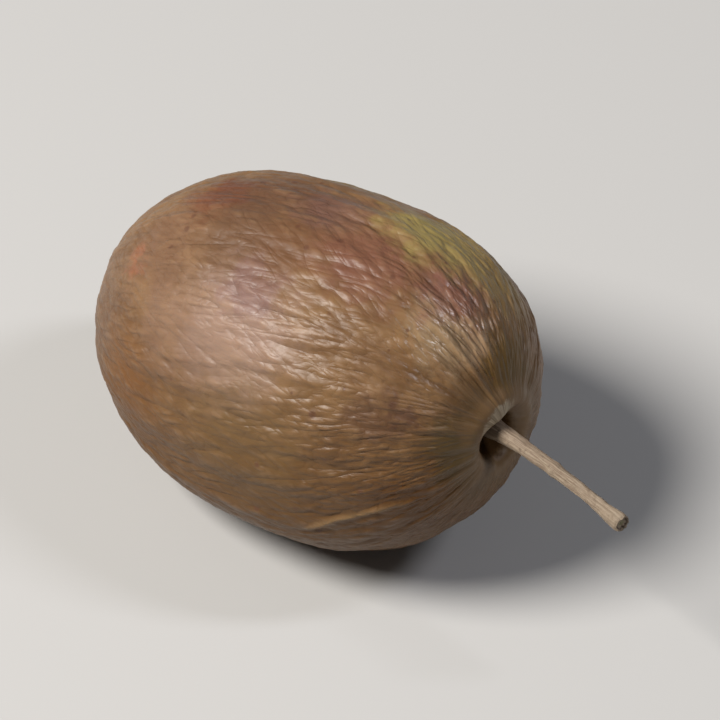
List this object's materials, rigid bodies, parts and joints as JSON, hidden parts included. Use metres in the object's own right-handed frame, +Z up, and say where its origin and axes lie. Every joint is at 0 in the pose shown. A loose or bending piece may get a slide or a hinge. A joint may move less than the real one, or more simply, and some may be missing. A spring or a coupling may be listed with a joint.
{
  "type": "kiwi berry",
  "caption": "Small smooth-skinned kiwi fruit lying on its side: blunt egg with a finely wrinkled brown skin, a slender dry stalk and dried styles.",
  "frame": {"origin": "in the flat spot that the berry rests on, right below the fruit's weight", "axes": "+Z up, +X towards the stalk end, which also rises a little"},
  "size_m": [0.0392, 0.0204, 0.0203],
  "materials": {
    "skin": "finely wrinkled fruit skin with a soft sheen, brown with olive, orange and purple tints",
    "stalk": "dry, matt and lightly grooved lengthwise",
    "dried_styles": "dry, matt and dark brown"
  },
  "bodies": {
    "root": {"berry": "skin", "stalk": "stalk", "style_remnants": "dried_styles"}
  },
  "joints": []
}
